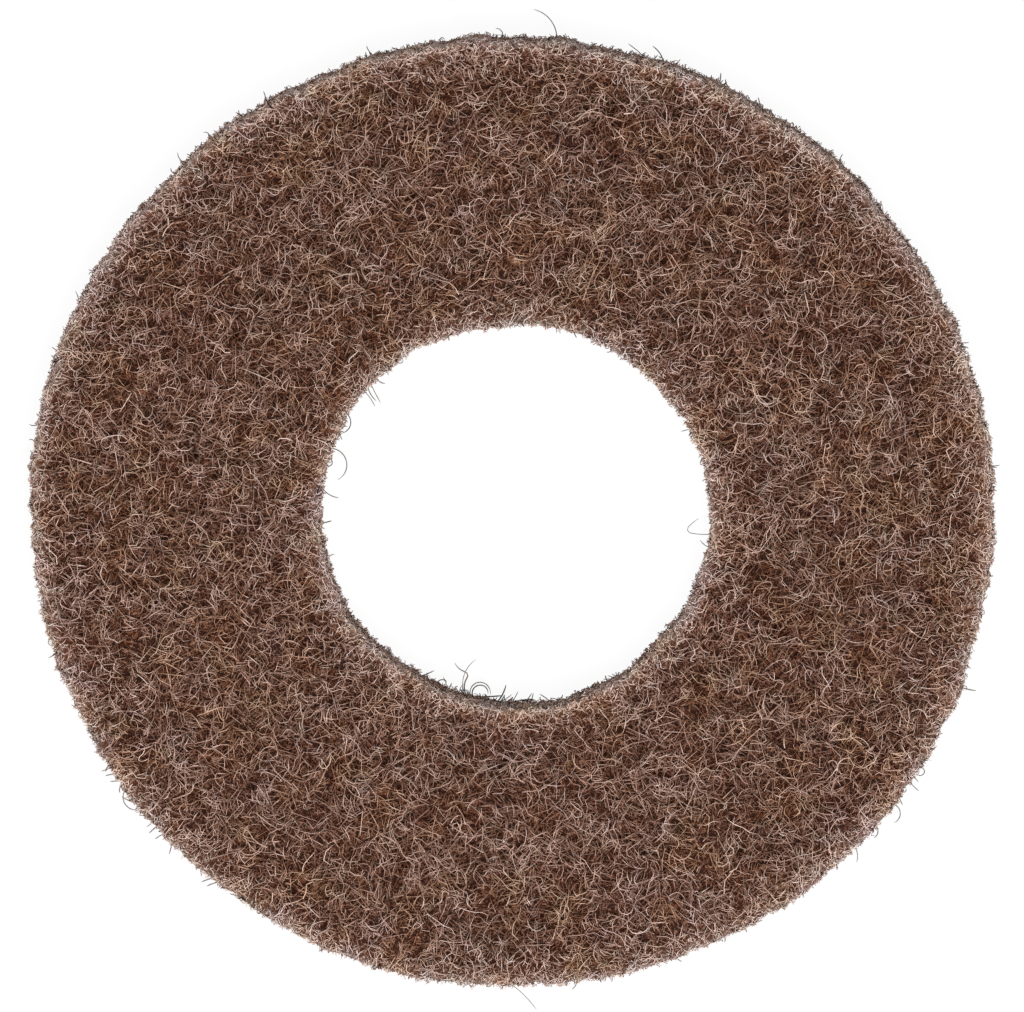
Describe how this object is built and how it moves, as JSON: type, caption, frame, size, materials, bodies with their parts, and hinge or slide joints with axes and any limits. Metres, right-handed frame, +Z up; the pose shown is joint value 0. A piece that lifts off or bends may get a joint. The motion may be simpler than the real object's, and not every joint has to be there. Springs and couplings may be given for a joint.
{
  "type": "floor polishing pad",
  "caption": "Flat ring of non-woven fibre web with a round centre hole, for buffing a floor under a polishing machine.",
  "frame": {"origin": "middle of the pad's outline, on its under face, which lies on the floor", "axes": "+Z up through the thickness, +X and +Y across the pad"},
  "size_m": [0.1526, 0.1526, 0.008],
  "materials": {
    "fibre_web": "matt brown nylon fibre, bonded with resin into an open web"
  },
  "bodies": {
    "root": {"polishing_pad": "fibre_web"}
  },
  "joints": []
}
